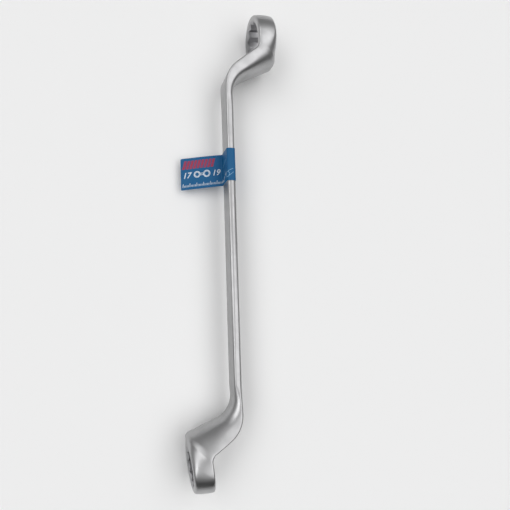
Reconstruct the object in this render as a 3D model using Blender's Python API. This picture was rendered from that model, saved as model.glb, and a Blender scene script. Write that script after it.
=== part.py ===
"""Double-ended offset ring spanner, 17 x 19 mm, with a printed label wrapped round its shank.

The spanner is one forging: a flat shank, two cranked necks and two 12-point rings. It lies on its side on the
rims of its two rings. The label is a strip whose ends are stuck back to back as a flag.

Shapes are worked out in millimetres in the spanner's own frame: X across the shank in the plane of the cranks,
Y along the shank towards the 19 mm ring, Z out of that plane, and the origin near the middle of the shank.
They are then laid down on the rims and shifted, so that the object's origin is at the bottom centre of its box.
"""

from dataclasses import dataclass
from math import asin, atan, cos, pi, radians, sin, sqrt, tan

import bmesh
import bpy
from mathutils import Matrix, Vector

# Driving dimensions, in millimetres and degrees
MM = 0.001
SHANK_THICKNESS = 4.5
SHANK_WIDTH = 12.6
SHANK_EDGE_RADIUS = 1.5
SHANK_STRAIGHT_HALF = 75.0

INNER_MITRE_RADIUS = 3.8
OUTER_MITRE_RADIUS = 2.2
MITRE_SOFTENING = 4.0      # how far the wall's half width is evened out either side of a mitre
LEAST_BACK = 0.6           # least half width of the neck's outer face

CHAMFER_PAST_POINTS = 0.5
CHAMFER_ANGLE = 40.0
NECK_RELIEF_LENGTH = 10.5
RELIEF_STEP = 0.2
CUTTER_OVERRUN = 3.0

LABEL_FILM = 0.15
LABEL_STANDOFF = 0.3
LABEL_WIDTH = 18.0
LABEL_CENTRE = 42.9
LABEL_LEAN = 0.03
FLAG_LENGTH = 22.8
FLAG_LEAN = 0.115
FLAG_ROOT_DROOP = 3.0
FLAG_TIP_DROOP = 13.0
FLAG_ROOT_GAP = 0.3
FLAG_STEPS = 8

# Mesh fineness
NECK_STEPS = 20
MITRE_STEPS = 4
RING_STEPS = 22
RIM_STEPS = 3
BACK_STEPS = 10
SOCKET_SIDES = 72
LABEL_CORNER_STEPS = 4
MERGE = 0.002
CREASE_ANGLE = radians(32)


@dataclass(frozen=True)
class RingEnd:
    """One offset end of the spanner, drawn as the end at +Y. Lengths in millimetres, angles in degrees."""

    name: str
    across_flats: float
    ring_radius: float
    ring_height: float
    ring_at: float         # ring centre along the shank from the origin
    offset: float          # ring centre from the shank's centre line
    tilt: float            # ring axis turned from the X axis
    inner_meet: float      # where the neck's hollow side meets the ring, along the ring from its centre
    outer_meet: float      # the same for the neck's outer side
    inner_bend_at: float   # height of the hollow side's bend, and its radius
    inner_bend_radius: float
    outer_bend_at: float
    outer_bend_radius: float
    flank_slope: float     # how fast the ring's plan narrows towards the neck
    spread: float          # how late the neck widens, as a power of its length
    inner_rim: float       # rim radii, on the neck's hollow side and on the outer side
    outer_rim: float
    back_depth: float      # depth of the neck's round back at the ring, from the outer face
    back_width: float      # how far it stands back from the flank at that face
    back_growth: float     # how late it grows, as a power of the neck's length
    back_fade: float       # how soon it runs out on the ring
    crown: float           # how far the wall falls away from its middle to the rims
    taper: float           # how much smaller the ring's radius is at its outer face

    def axis(self):
        """Ring axis in the X-Y plane, pointing away from the shank."""
        return Vector((cos(radians(self.tilt)), sin(radians(self.tilt))))

    def along(self):
        """Direction across the ring, pointing away from the neck."""
        return Vector((-sin(radians(self.tilt)), cos(radians(self.tilt))))

    def centre(self):
        """Ring centre in the X-Y plane."""
        return Vector((self.offset, self.ring_at))

    def place(self, on_axis, across):
        """Point in the X-Y plane at a distance along the ring's axis and across the ring."""
        return self.centre() + self.axis() * on_axis + self.along() * across

    def across(self, spot):
        """Distance of a point of the X-Y plane across the ring from its centre."""
        return (spot - self.centre()).dot(self.along())

    def point_radius(self):
        """Radius of the socket's twelve points."""
        return self.across_flats / sqrt(3)


RING_19 = RingEnd(
    name="19",
    across_flats=19.0,
    ring_radius=14.85,
    ring_height=10.6,
    ring_at=117.6,
    offset=21.1,
    tilt=5.1,
    inner_meet=-7.4,
    outer_meet=-15.0,
    inner_bend_at=95.9,
    inner_bend_radius=15.9,
    outer_bend_at=91.2,
    outer_bend_radius=14.2,
    flank_slope=0.30,
    spread=1.38,
    inner_rim=1.1,
    outer_rim=1.15,
    back_depth=8.1,
    back_width=8.5,
    back_growth=1.54,
    back_fade=2.1,
    crown=0.50,
    taper=0.36,
)
RING_17 = RingEnd(
    name="17",
    across_flats=17.0,
    ring_radius=14.6,
    ring_height=10.3,
    ring_at=114.2,
    offset=20.0,
    tilt=6.4,
    inner_meet=-5.6,
    outer_meet=-16.8,
    inner_bend_at=97.5,
    inner_bend_radius=14.7,
    outer_bend_at=88.9,
    outer_bend_radius=12.3,
    flank_slope=0.28,
    spread=1.39,
    inner_rim=0.9,
    outer_rim=1.15,
    back_depth=10.5,
    back_width=7.1,
    back_growth=0.75,
    back_fade=2.0,
    crown=0.40,
    taper=1.55,
)


def bent_path(corners, radii):
    """Path of straight runs with round bends, as a function of distance, and the distances where its parts end."""
    parts = []
    marks = [0.0]
    start = corners[0]
    for i, radius in enumerate(radii, start=1):
        first = (corners[i] - corners[i - 1]).normalized()
        last = (corners[i + 1] - corners[i]).normalized()
        turn = first.angle(last)
        sense = 1 if first.x * last.y - first.y * last.x > 0 else -1
        side = Vector((-first.y, first.x)) * sense
        leave = corners[i] - first * radius * tan(turn / 2)
        parts.append((start, first, side, 0.0))
        marks.append(marks[-1] + (leave - start).length)
        parts.append((leave, first, side, radius))
        marks.append(marks[-1] + radius * turn)
        start = corners[i] + last * radius * tan(turn / 2)
    parts.append((start, (corners[-1] - start).normalized(), Vector((0.0, 0.0)), 0.0))
    marks.append(marks[-1] + (corners[-1] - start).length)

    def at(run):
        index = 0
        while index < len(parts) - 1 and run > marks[index + 1]:
            index += 1
        begin, heading, side, radius = parts[index]
        run -= marks[index]
        if not radius:
            return begin + heading * run
        return begin + heading * radius * sin(run / radius) + side * radius * (1 - cos(run / radius))

    return at, marks


def plan_half_width(end, inset, across):
    """Half the width of the ring's plan at a place across it: a circle that runs out along its tangents."""
    radius = end.ring_radius - inset
    angle = atan(end.flank_slope)
    leave = -radius * sin(angle)
    if across < leave:
        return radius * cos(angle) + (across - leave) * end.flank_slope
    return sqrt(max(radius**2 - across**2, 0.0))


def plan_outline(end, inset, first):
    """Place across the ring as a function of the share of the outline's length, from first to the far rim."""
    radius = end.ring_radius - inset
    angle = atan(end.flank_slope)
    leave = -radius * sin(angle)
    flank = max(leave - first, 0.0) / cos(angle)
    begin = asin(max(first, leave) / radius)
    arc = radius * (pi / 2 - begin)

    def at(share):
        run = share * (flank + arc)
        if run < flank:
            return first + run * cos(angle)
        return radius * sin(begin + (run - flank) / radius)

    return at


def wall_levels(end, thickness, inner_rim, share):
    """Depths from the hollow side with the wall's stand-back at each: a rounded rim, a crown and a taper."""
    depths = [inner_rim * (1 - cos(pi / 2 * step / RIM_STEPS)) for step in range(RIM_STEPS)]
    rest = thickness - inner_rim
    depths += [inner_rim + rest * sin(pi / 2 * step / BACK_STEPS) for step in range(BACK_STEPS + 1)]
    middle = thickness / 2
    levels = []
    for depth in depths:
        stand_back = share * (end.crown * ((depth - middle) / middle) ** 2 + end.taper * depth / thickness)
        if depth < inner_rim:
            stand_back += inner_rim - sqrt(inner_rim**2 - (inner_rim - depth) ** 2)
        levels.append((depth, stand_back))
    return levels


def outer_edge(end, small, grow, to_face):
    """Stand-back of the outer edge at a distance from the outer face: it grows from a small radius to the back."""
    deep = small + (end.back_depth - small) * grow
    wide = small + (end.back_width - small) * grow
    inward = min(max(1 - to_face / deep, 0.0), 1.0)
    return wide * (1 - sqrt(1 - inward**2))


def profile_lines(end):
    """The hollow side's line and the outer side's, from the shank past the mitre to the ring's far rim."""
    lines = []
    for side, bend_at, bend_radius, meet, mitre_radius in (
        (-1, end.inner_bend_at, end.inner_bend_radius, end.inner_meet, INNER_MITRE_RADIUS),
        (1, end.outer_bend_at, end.outer_bend_radius, end.outer_meet, OUTER_MITRE_RADIUS),
    ):
        corners = [
            Vector((side * SHANK_THICKNESS / 2, SHANK_STRAIGHT_HALF)),
            Vector((side * SHANK_THICKNESS / 2, bend_at)),
            end.place(side * end.ring_height / 2, meet),
            end.place(side * end.ring_height / 2, end.ring_radius),
        ]
        lines.append(bent_path(corners, [bend_radius, mitre_radius]))
    return lines


def neck_section(end, share, a, b):
    """Section of the neck between a point of its hollow line and one of its outer line."""
    inner_rim = SHANK_EDGE_RADIUS + (end.inner_rim - SHANK_EDGE_RADIUS) * share
    thickness = (b - a).length
    thickness += (end.ring_height - thickness) * share**4
    section = []
    for depth, stand_back in wall_levels(end, thickness, inner_rim, share):
        part = depth / thickness
        flank = plan_half_width(end, 0.0, end.inner_meet + (end.outer_meet - end.inner_meet) * part)
        half = SHANK_WIDTH / 2 + (flank - SHANK_WIDTH / 2) * share**end.spread - stand_back
        half -= outer_edge(end, SHANK_EDGE_RADIUS, share**end.back_growth, thickness - depth)
        spot = a + (b - a) * part
        section.append([spot.x, spot.y, max(half, LEAST_BACK)])
    return section


def mitre_section(end, a, b):
    """Section in the bend where the neck runs into the ring."""
    section = []
    for depth, stand_back in wall_levels(end, end.ring_height, end.inner_rim, 1.0):
        spot = a + (b - a) * depth / end.ring_height
        half = plan_half_width(end, stand_back, end.across(spot))
        half -= outer_edge(end, end.outer_rim, 1.0, end.ring_height - depth)
        section.append([spot.x, spot.y, max(half, LEAST_BACK)])
    return section


def ring_section(end, share, inner_first, outer_first):
    """Section across the ring, at a share of the way from the mitre to its far rim."""
    grow = (1 - min(share * end.back_fade, 1.0)) ** 2
    section = []
    for depth, stand_back in wall_levels(end, end.ring_height, end.inner_rim, 1.0):
        edge = outer_edge(end, end.outer_rim, grow, end.ring_height - depth)
        stand_back += (1 - grow) * edge
        first = inner_first + (outer_first - inner_first) * depth / end.ring_height
        across = plan_outline(end, stand_back, first)(share)
        half = plan_half_width(end, stand_back, across) - grow * edge
        spot = end.place(depth - end.ring_height / 2, across)
        section.append([spot.x, spot.y, max(half, LEAST_BACK * grow)])
    return section


def soften(sections, middle, spacing):
    """Evens out the half widths either side of the mitre, so that the wall has no crease there."""
    reach = round(4 * MITRE_SOFTENING / spacing)
    for _ in range(round(2 * (MITRE_SOFTENING / spacing) ** 2)):
        old = [[point[2] for point in section] for section in sections]
        for i in range(middle - reach, middle + reach + 1):
            fade = 1 - ((i - middle) / reach) ** 2
            for k, point in enumerate(sections[i]):
                mean = (old[i - 1][k] + 2 * old[i][k] + old[i + 1][k]) / 4
                point[2] += (mean - point[2]) * fade


def end_sections(end):
    """Every section of one end from the straight shank to the far rim, each a list of [x, y, half width]."""
    (inner, inner_marks), (outer, outer_marks) = profile_lines(end)
    sections = []
    for step in range(NECK_STEPS):
        share = step / NECK_STEPS
        sections.append(neck_section(end, share, inner(inner_marks[3] * share), outer(outer_marks[3] * share)))
    for step in range(MITRE_STEPS + 1):
        share = step / MITRE_STEPS
        a = inner(inner_marks[3] + (inner_marks[4] - inner_marks[3]) * share)
        b = outer(outer_marks[3] + (outer_marks[4] - outer_marks[3]) * share)
        sections.append(mitre_section(end, a, b))
    for step in range(1, RING_STEPS + 1):
        sections.append(ring_section(end, step / RING_STEPS, end.across(a), end.across(b)))
    spacing = (inner_marks[3] + outer_marks[3]) / 2 / NECK_STEPS
    soften(sections, NECK_STEPS + MITRE_STEPS // 2, spacing)
    return sections


def section_loop(section):
    """Closed loop of points of a section, from its half widths."""
    upper = [Vector((x, y, half)) for x, y, half in section]
    lower = [Vector((x, y, -half)) for x, y, half in reversed(section)]
    return upper + lower


def turned_round(section):
    """The same section on the opposite end: half a turn about Z, listed in the same order from -X."""
    return [(-x, -y, half) for x, y, half in reversed(section)]


def spanner_sections():
    """Every section of the forging from the far rim of the 17 mm ring to that of the 19 mm ring."""
    small = [turned_round(s) for s in end_sections(RING_17)]
    return [section_loop(s) for s in small[::-1] + end_sections(RING_19)]


def widest(end):
    """Half the ring's width where its crowned and tapered wall stands out most."""
    edges = [
        stand_back + outer_edge(end, end.outer_rim, 0.0, end.ring_height - depth)
        for depth, stand_back in wall_levels(end, end.ring_height, end.inner_rim, 1.0)
    ]
    return end.ring_radius - min(edges)


# The spanner rests on the rims of two unlike rings, so it lies down at a slight slope
LIE_ANGLE = asin((widest(RING_19) - widest(RING_17)) / (RING_19.ring_at + RING_17.ring_at))
LIE = Matrix.Rotation(LIE_ANGLE, 3, "X")


def box_shift(loops):
    """Move that puts the bottom centre of the laid-down spanner's box at the origin."""
    points = [LIE @ p for loop in loops for p in loop]
    low = [min(p[i] for p in points) for i in range(3)]
    high = [max(p[i] for p in points) for i in range(3)]
    return Vector((-(low[0] + high[0]) / 2, -(low[1] + high[1]) / 2, -low[2]))


SECTIONS = spanner_sections()
SHIFT = box_shift(SECTIONS)


def laid_down(point):
    """Point of the spanner's own frame, in millimetres, as a place in the object's frame, in metres."""
    return (LIE @ Vector(point) + SHIFT) * MM


def make_object(name, bm, origin=Vector((0, 0, 0))):
    """Object whose mesh is in metres about its origin. Faces are turned outwards and shaded smooth."""
    bmesh.ops.translate(bm, verts=bm.verts, vec=-origin)
    bmesh.ops.remove_doubles(bm, verts=bm.verts, dist=MERGE * MM)
    bmesh.ops.recalc_face_normals(bm, faces=bm.faces)
    mesh = bpy.data.meshes.new(name)
    bm.to_mesh(mesh)
    bm.free()
    mesh.shade_smooth()
    mesh.set_sharp_from_angle(angle=CREASE_ANGLE)
    obj = bpy.data.objects.new(name, mesh)
    obj.location = origin
    bpy.context.scene.collection.objects.link(obj)
    return obj


def skin(bm, loops, caps):
    """Faces between one closed loop of points and the next, with flat caps on the ends if asked."""
    rings = [[bm.verts.new(p) for p in loop] for loop in loops]
    for ring, following in zip(rings, rings[1:]):
        for i, vert in enumerate(ring):
            j = (i + 1) % len(ring)
            bm.faces.new((vert, ring[j], following[j], following[i]))
    if caps:
        bm.faces.new(rings[0][::-1])
        bm.faces.new(rings[-1])


def material(name, colour, roughness, metallic):
    """Principled material with one colour."""
    mat = bpy.data.materials.new(name)
    mat.use_nodes = True
    shader = mat.node_tree.nodes["Principled BSDF"]
    shader.inputs["Base Color"].default_value = (*colour, 1.0)
    shader.inputs["Roughness"].default_value = roughness
    shader.inputs["Metallic"].default_value = metallic
    return mat


def ring_point(end, on_axis, across, height):
    """Place in the object's frame of a point given about a ring's axis, on either end of the spanner."""
    spot = end.place(on_axis, across)
    half_turn = -1 if end is RING_17 else 1
    return laid_down((half_turn * spot.x, half_turn * spot.y, height))


def socket_radius(end, angle):
    """Distance from the axis to the 12-point outline: the edge of two hexagons a twelfth of a turn apart."""
    off_notch = abs(angle % (pi / 6) - pi / 12)
    return end.across_flats / 2 / cos(pi / 12 + off_notch)


def socket_cutter(end):
    """Hidden solid of the socket's room: the 12 points, a chamfered mouth, and the relief through the neck."""
    face = end.ring_height / 2
    mouth = end.point_radius() + CHAMFER_PAST_POINTS
    rise = tan(radians(CHAMFER_ANGLE))
    outer, outer_edge, inner_edge, inner, relief_end = [], [], [], [], []
    for i in range(SOCKET_SIDES):
        angle = 2 * pi * i / SOCKET_SIDES
        wall = socket_radius(end, angle)
        edge = face - (mouth - wall) * rise
        for loop, on_axis, radius in (
            (outer, face + CUTTER_OVERRUN, mouth + CUTTER_OVERRUN / rise),
            (outer_edge, edge, wall),
            (inner_edge, -edge, wall),
            (inner, -face - RELIEF_STEP, mouth + RELIEF_STEP / rise),
            (relief_end, -face - NECK_RELIEF_LENGTH, mouth + RELIEF_STEP / rise),
        ):
            loop.append(ring_point(end, on_axis, radius * cos(angle), radius * sin(angle)))
    bm = bmesh.new()
    skin(bm, [outer, outer_edge, inner_edge, inner, relief_end], caps=True)
    obj = make_object(f"cutter_socket_{end.name}", bm)
    obj.hide_render = True
    obj.display_type = "WIRE"
    return obj


def build_forging():
    """The whole spanner as one solid, with both sockets cut through."""
    bm = bmesh.new()
    skin(bm, [[laid_down(p) for p in loop] for loop in SECTIONS], caps=False)
    forging = make_object("spanner_forging", bm)
    forging.data.materials.append(material("satin_chrome", (0.62, 0.62, 0.63), 0.32, 1.0))
    for end in (RING_19, RING_17):
        cut = forging.modifiers.new(f"socket_{end.name}", "BOOLEAN")
        cut.operation = "DIFFERENCE"
        cut.solver = "EXACT"
        cut.object = socket_cutter(end)
    return forging


def round_the_shank(standoff):
    """Points round the shank at a distance from it, counter-clockwise about +Y, with round corners."""
    radius = SHANK_EDGE_RADIUS + standoff
    across = SHANK_THICKNESS / 2 + standoff - radius
    up = SHANK_WIDTH / 2 + standoff - radius
    corners = [(across, up, 0.0), (-across, up, 90.0), (-across, -up, 180.0), (across, -up, 270.0)]
    points = []
    for x, z, start in corners:
        for step in range(LABEL_CORNER_STEPS + 1):
            angle = radians(start + 90.0 * step / LABEL_CORNER_STEPS)
            points.append((x + radius * cos(angle), z + radius * sin(angle)))
    return points


def build_label_wrap():
    """The label round the shank: a closed band of film, leaning a little along the shank."""
    inside = round_the_shank(LABEL_STANDOFF)
    outside = round_the_shank(LABEL_STANDOFF + LABEL_FILM)
    loops = []
    for (xi, zi), (xo, zo) in zip(inside, outside):
        loops.append([
            laid_down((xi, LABEL_CENTRE - LABEL_WIDTH / 2 + LABEL_LEAN * zi, zi)),
            laid_down((xo, LABEL_CENTRE - LABEL_WIDTH / 2 + LABEL_LEAN * zo, zo)),
            laid_down((xo, LABEL_CENTRE + LABEL_WIDTH / 2 + LABEL_LEAN * zo, zo)),
            laid_down((xi, LABEL_CENTRE + LABEL_WIDTH / 2 + LABEL_LEAN * zi, zi)),
        ])
    bm = bmesh.new()
    skin(bm, loops + loops[:1], caps=False)
    band = make_object("label_wrap", bm)
    band.data.materials.append(material("label_blue", (0.02, 0.14, 0.31), 0.4, 0.0))
    return band


def flag_root():
    """Middle of the flag's root in the spanner's frame: beside the band, level with its film at the back."""
    x = -SHANK_THICKNESS / 2 - LABEL_STANDOFF - LABEL_FILM - FLAG_ROOT_GAP
    z = -SHANK_WIDTH / 2 - LABEL_STANDOFF - LABEL_FILM / 2
    return Vector((x, LABEL_CENTRE + LABEL_LEAN * z, z))


def build_label_flag():
    """The label's two ends, stuck together: a slightly bowed plate that hinges at its root."""
    root = flag_root()
    thickness = 2 * LABEL_FILM
    spot = root.copy()
    loops = []
    for step in range(FLAG_STEPS + 1):
        share = step / FLAG_STEPS
        droop = radians(FLAG_ROOT_DROOP + (FLAG_TIP_DROOP - FLAG_ROOT_DROOP) * share)
        if step:
            spot = spot + Vector((-cos(droop), -FLAG_LEAN, -sin(droop))) * (FLAG_LENGTH / FLAG_STEPS)
        out = Vector((-sin(droop), 0.0, cos(droop))) * (thickness / 2)
        along = Vector((0.0, LABEL_WIDTH / 2, 0.0))
        loops.append([laid_down(spot + s * out + e * along) for s, e in ((1, -1), (1, 1), (-1, 1), (-1, -1))])
    bm = bmesh.new()
    skin(bm, loops, caps=True)
    flag = make_object("label_flag", bm, origin=laid_down(root))
    flag.data.materials.append(material("label_print", (0.025, 0.12, 0.27), 0.45, 0.0))
    return flag


def main():
    """Clear the scene and build the three pieces."""
    for obj in list(bpy.data.objects):
        bpy.data.objects.remove(obj, do_unlink=True)
    build_forging()
    build_label_wrap()
    build_label_flag()


main()
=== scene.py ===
"""Dressed scene of an offset ring spanner lying on a pale bench, seen from the photo's viewpoint.

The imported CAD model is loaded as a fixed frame. Finer pieces are built round it from the same sizes: the
plated forging, the wrap-round label of one folded film, and the label's generic print.

Shapes are worked out in millimetres in the spanner's own frame: X across the shank in the plane of the
cranks, Y along the shank towards the larger ring, Z out of that plane. They are then laid down on the bench
in metres.
"""

import logging
from collections.abc import Callable
from dataclasses import dataclass, replace
from enum import Enum
from math import asin, atan, cos, pi, radians, sin, sqrt, tan

import bmesh
import bpy
import numpy as np
from mathutils import Matrix, Vector


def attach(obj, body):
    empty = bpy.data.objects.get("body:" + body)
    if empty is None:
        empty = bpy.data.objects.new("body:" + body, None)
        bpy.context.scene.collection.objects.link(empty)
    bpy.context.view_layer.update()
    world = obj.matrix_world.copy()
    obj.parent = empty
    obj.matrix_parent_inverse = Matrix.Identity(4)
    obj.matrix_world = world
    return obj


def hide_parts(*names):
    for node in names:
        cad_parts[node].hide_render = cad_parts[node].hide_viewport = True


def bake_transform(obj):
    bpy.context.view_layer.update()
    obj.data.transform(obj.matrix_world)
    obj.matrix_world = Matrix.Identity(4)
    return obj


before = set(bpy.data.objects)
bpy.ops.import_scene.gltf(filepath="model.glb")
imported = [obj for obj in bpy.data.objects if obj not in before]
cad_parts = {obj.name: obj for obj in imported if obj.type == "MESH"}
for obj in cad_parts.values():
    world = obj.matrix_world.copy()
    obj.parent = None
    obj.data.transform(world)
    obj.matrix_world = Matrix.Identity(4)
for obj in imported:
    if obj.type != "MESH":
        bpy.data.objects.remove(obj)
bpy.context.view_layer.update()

LOG = logging.getLogger("spanner_scene")
MM = 0.001
MERGE_DISTANCE = 1e-7

Pair = tuple[float, float]
Colour = tuple[float, float, float]
Profile = list[Pair]
Section = list[tuple[float, float, float]]
Line = tuple[Pair, Pair]
Value = bpy.types.NodeSocket | bpy.types.Material | float | tuple[float, ...] | Vector


@dataclass(frozen=True)
class RingEnd:
    """One offset end of the spanner, drawn as the end at +Y. Lengths in millimetres, angles in degrees."""

    name: str
    across_flats: float
    ring_radius: float
    ring_height: float
    along_shank: float
    offset: float
    tilt: float
    inner_meet: float
    outer_meet: float
    inner_bend_at: float
    inner_bend_radius: float
    outer_bend_at: float
    outer_bend_radius: float
    flank_slope: float
    spread: float
    inner_rim: float
    outer_rim: float
    back_depth: float
    back_width: float
    back_growth: float
    back_fade: float
    crown: float
    taper: float
    turned: bool

    def axis(self) -> np.ndarray:
        """Ring axis in the X-Y plane, pointing away from the shank."""
        return np.array((cos(radians(self.tilt)), sin(radians(self.tilt))))

    def along(self) -> np.ndarray:
        """Direction across the ring, pointing away from the neck."""
        return np.array((-sin(radians(self.tilt)), cos(radians(self.tilt))))

    def centre(self) -> np.ndarray:
        """Ring centre in the X-Y plane."""
        return np.array((self.offset, self.along_shank))

    def place(self, on_axis: float, across: float) -> np.ndarray:
        """Point in the X-Y plane at a distance along the ring's axis and across the ring."""
        return self.centre() + self.axis() * on_axis + self.along() * across

    def across(self, spot: np.ndarray) -> float:
        """Distance of a point of the X-Y plane across the ring from its centre."""
        return float((spot - self.centre()) @ self.along())

    def point_radius(self) -> float:
        """Radius of the socket's twelve points."""
        return self.across_flats / sqrt(3)


LARGE_END = RingEnd(
    name="19",
    across_flats=19.0,
    ring_radius=14.85,
    ring_height=10.6,
    along_shank=117.6,
    offset=21.1,
    tilt=5.1,
    inner_meet=-7.4,
    outer_meet=-15.0,
    inner_bend_at=95.9,
    inner_bend_radius=15.9,
    outer_bend_at=91.2,
    outer_bend_radius=14.2,
    flank_slope=0.30,
    spread=1.38,
    inner_rim=1.1,
    outer_rim=1.15,
    back_depth=8.1,
    back_width=8.5,
    back_growth=1.54,
    back_fade=2.1,
    crown=0.50,
    taper=0.36,
    turned=False,
)
SMALL_END = RingEnd(
    name="17",
    across_flats=17.0,
    ring_radius=14.6,
    ring_height=10.3,
    along_shank=114.2,
    offset=20.0,
    tilt=6.4,
    inner_meet=-5.6,
    outer_meet=-16.8,
    inner_bend_at=97.5,
    inner_bend_radius=14.7,
    outer_bend_at=88.9,
    outer_bend_radius=12.3,
    flank_slope=0.28,
    spread=1.39,
    inner_rim=0.9,
    outer_rim=1.15,
    back_depth=10.5,
    back_width=7.1,
    back_growth=0.75,
    back_fade=2.0,
    crown=0.40,
    taper=1.55,
    turned=True,
)


@dataclass(frozen=True)
class LyingDown:
    """How the spanner's own frame, in millimetres, stands on the bench in metres."""

    slope: float
    shift: tuple[float, float, float]

    def matrix(self) -> Matrix:
        """Matrix from the spanner's frame to the bench."""
        return Matrix.Scale(MM, 4) @ Matrix.Translation(self.shift) @ Matrix.Rotation(self.slope, 4, "X")

    def points(self, places: np.ndarray) -> np.ndarray:
        """Places on the bench of many points.

        Args:
            places: Points of the spanner's frame, in millimetres, one to a row.

        Returns:
            The same points in metres on the bench.
        """
        matrix = np.array(self.matrix())
        return places @ matrix[:3, :3].T + matrix[:3, 3]


BENCH = LyingDown(slope=0.002124, shift=(-0.3883, -2.1456, 14.4349))


def link(piece: bpy.types.Object) -> bpy.types.Object:
    """Puts an object into the scene."""
    bpy.context.scene.collection.objects.link(piece)
    return piece


def mesh_object(name: str, points: np.ndarray, faces: list[tuple[int, ...]]) -> bpy.types.Object:
    """New mesh object in the scene.

    Args:
        name: The piece's name.
        points: Its vertices on the bench, in metres.
        faces: The vertex numbers of each face.

    Returns:
        The object, with its faces turned outwards.
    """
    mesh = bpy.data.meshes.new(name)
    mesh.from_pydata(points.tolist(), [], faces)
    tidy_shell(mesh)
    return link(bpy.data.objects.new(name, mesh))


def tidy_shell(mesh: bpy.types.Mesh) -> None:
    """Merges a mesh's doubled points and turns its faces outwards.

    Args:
        mesh: The mesh, changed in place.
    """
    shell = bmesh.new()
    shell.from_mesh(mesh)
    bmesh.ops.remove_doubles(shell, verts=shell.verts, dist=MERGE_DISTANCE)
    bmesh.ops.recalc_face_normals(shell, faces=shell.faces)
    shell.to_mesh(mesh)
    shell.free()


def seen_mesh(piece: bpy.types.Object) -> bpy.types.Mesh:
    """A new plain mesh of a piece with its modifiers in it."""
    bpy.context.view_layer.update()
    return bpy.data.meshes.new_from_object(piece.evaluated_get(bpy.context.evaluated_depsgraph_get()))


class BentLine:
    """A path in a plane of straight runs with round bends between them."""

    def __init__(self, corners: list[np.ndarray], radii: list[float]) -> None:
        """Lays out the path.

        Args:
            corners: Its start, its corners and its end.
            radii: The bend radius at each corner.
        """
        self.parts: list[tuple[float, Callable[[float], np.ndarray]]] = []
        self.marks: list[float] = [0.0]
        at = corners[0]
        for i, radius in enumerate(radii, start=1):
            first = corners[i] - corners[i - 1]
            last = corners[i + 1] - corners[i]
            first = first / np.linalg.norm(first)
            last = last / np.linalg.norm(last)
            turn = float(np.arccos(np.clip(first @ last, -1.0, 1.0)))
            sense = 1.0 if first[0] * last[1] - first[1] * last[0] > 0 else -1.0
            side = np.array((-first[1], first[0])) * sense
            leave = corners[i] - first * radius * tan(turn / 2)
            self._add_straight(at, first, float((leave - at) @ first))
            self._add_arc(leave, first, side, radius, turn)
            at = corners[i] + last * radius * tan(turn / 2)
        last = corners[-1] - corners[-2]
        last = last / np.linalg.norm(last)
        self._add_straight(at, last, float((corners[-1] - at) @ last))

    def _add_straight(self, start: np.ndarray, heading: np.ndarray, length: float) -> None:
        """Adds a straight part."""
        self.parts.append((self.marks[-1], lambda s: start + heading * s))
        self.marks.append(self.marks[-1] + length)

    def _add_arc(
        self, start: np.ndarray, heading: np.ndarray, side: np.ndarray, radius: float, turn: float
    ) -> None:
        """Adds a bend.

        Args:
            start: Where it starts.
            heading: The path's direction there.
            side: The direction of its centre.
            radius: Its radius.
            turn: How far it turns, in radians.
        """
        self.parts.append((
            self.marks[-1],
            lambda s: start + heading * radius * sin(s / radius) + side * radius * (1 - cos(s / radius)),
        ))
        self.marks.append(self.marks[-1] + radius * turn)

    def at(self, run: float) -> np.ndarray:
        """Point of the path at a distance along it.

        Args:
            run: The distance.

        Returns:
            The point, on the last part's own line where the path has ended.
        """
        for (begin, shape), mark in zip(self.parts, self.marks[1:]):
            if run <= mark:
                return shape(run - begin)
        begin, shape = self.parts[-1]
        return shape(run - begin)


class Wiring:
    """A node tree, with short calls that add its nodes and join them."""

    def __init__(self, tree: bpy.types.NodeTree) -> None:
        """Takes up a tree."""
        self.nodes = tree.nodes
        self.links = tree.links

    def give(self, socket: bpy.types.NodeSocket, value: Value) -> None:
        """Joins another node's socket to a socket, or sets its value.

        Args:
            socket: The input.
            value: What it gets.
        """
        if isinstance(value, bpy.types.NodeSocket):
            self.links.new(value, socket)
        else:
            socket.default_value = value

    def add(
        self, kind: str, inputs: dict[str | int, Value] | None = None, **settings: str
    ) -> bpy.types.Node:
        """Adds a node.

        Args:
            kind: The node's type.
            inputs: What its inputs get, by their names or numbers.
            settings: Its own choices, which come first because they change its inputs.

        Returns:
            The node.
        """
        node = self.nodes.new(kind)
        for name, choice in settings.items():
            setattr(node, name, choice)
        for key, value in (inputs or {}).items():
            self.give(node.inputs[key], value)
        return node

    def math(self, kind: str, first: Value, second: Value = 0.0) -> bpy.types.NodeSocket:
        """The result of one Math node."""
        return self.add("ShaderNodeMath", {0: first, 1: second}, operation=kind).outputs[0]

    def vector(self, *parts: Value) -> bpy.types.NodeSocket:
        """A vector of up to three values."""
        return self.add("ShaderNodeCombineXYZ", dict(enumerate(parts))).outputs[0]

    def ranged(self, value: Value, source: Pair, target: Pair, **settings: str) -> bpy.types.NodeSocket:
        """A value mapped from one range to another and held inside it."""
        limits = {"From Min": source[0], "From Max": source[1], "To Min": target[0], "To Max": target[1]}
        return self.add("ShaderNodeMapRange", {"Value": value, **limits}, **settings).outputs["Result"]


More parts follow.
